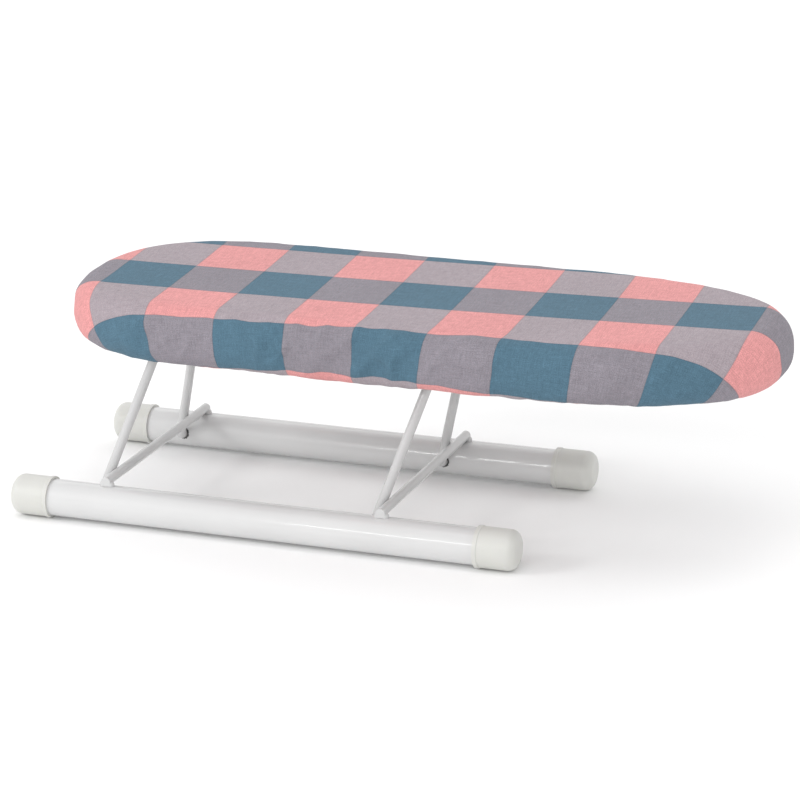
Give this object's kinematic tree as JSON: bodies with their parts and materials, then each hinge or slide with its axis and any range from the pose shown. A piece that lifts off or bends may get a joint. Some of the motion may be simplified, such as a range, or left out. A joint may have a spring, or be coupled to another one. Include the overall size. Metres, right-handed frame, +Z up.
{
  "type": "table-top ironing board",
  "caption": "Small table-top sleeve ironing board: padded board with a checked cotton cover on two wire leg frames that fold onto a tubular base.",
  "frame": {"origin": "on the table plane, under the middle of the whole part", "axes": "+X along the board towards its long nose, +Y across the board towards the rear foot tube, +Z up"},
  "size_m": [0.514, 0.1964, 0.158],
  "materials": {
    "foot_tube": "glossy white powder coat",
    "end_cap": "satin moulded polyethylene, off-white",
    "wire": "glossy light grey-white enamel",
    "clip": "satin moulded nylon, natural",
    "screw": "zinc plated",
    "deck_metal": "grey-white enamelled sheet steel",
    "foam": "open-cell foam, pale cream",
    "cover_cotton": "plain-weave cotton, woven check of coral pink, slate teal and grey-mauve",
    "elastic": "braided elastic"
  },
  "bodies": {
    "base": {"front_foot_tube": "foot_tube", "rear_foot_tube": "foot_tube", "front_left_cap": "end_cap", "front_right_cap": "end_cap", "rear_left_cap": "end_cap", "rear_right_cap": "end_cap", "left_crossbar": "wire", "right_crossbar": "wire", "left_crossbar_welds": "wire", "right_crossbar_welds": "wire"},
    "left_leg": {"left_leg_frame": "wire"},
    "right_leg": {"right_leg_frame": "wire"},
    "board": {"left_front_clip": "clip", "left_rear_clip": "clip", "right_front_clip": "clip", "right_rear_clip": "clip", "left_clip_screws": "screw", "right_clip_screws": "screw", "left_brace": "deck_metal", "right_brace": "deck_metal", "left_brace_rivets": "screw", "right_brace_rivets": "screw", "deck_panel": "deck_metal", "foam_pad": "foam", "cover": "cover_cotton", "hem_elastic": "elastic"}
  },
  "joints": [
    {"name": "left_leg_hinge", "type": "hinge", "parent": "base", "child": "left_leg", "pos_m": [-0.20099, 0, 0.0142], "axis": [0, 1, 0], "range_deg": [-94.5, 0]},
    {"name": "right_leg_hinge", "type": "hinge", "parent": "base", "child": "right_leg", "pos_m": [-0.00399, 0, 0.0142], "axis": [0, 1, 0], "range_deg": [-94.5, 0]},
    {"name": "board_hinge", "type": "hinge", "parent": "left_leg", "child": "board", "pos_m": [-0.16731, 0, 0.123], "axis": [0, 1, 0], "range_deg": [0, 94.5]}
  ],
  "couplings": [
    {"joint": "right_leg_hinge", "follows": "left_leg_hinge", "ratio": 1},
    {"joint": "board_hinge", "follows": "left_leg_hinge", "ratio": -1}
  ]
}
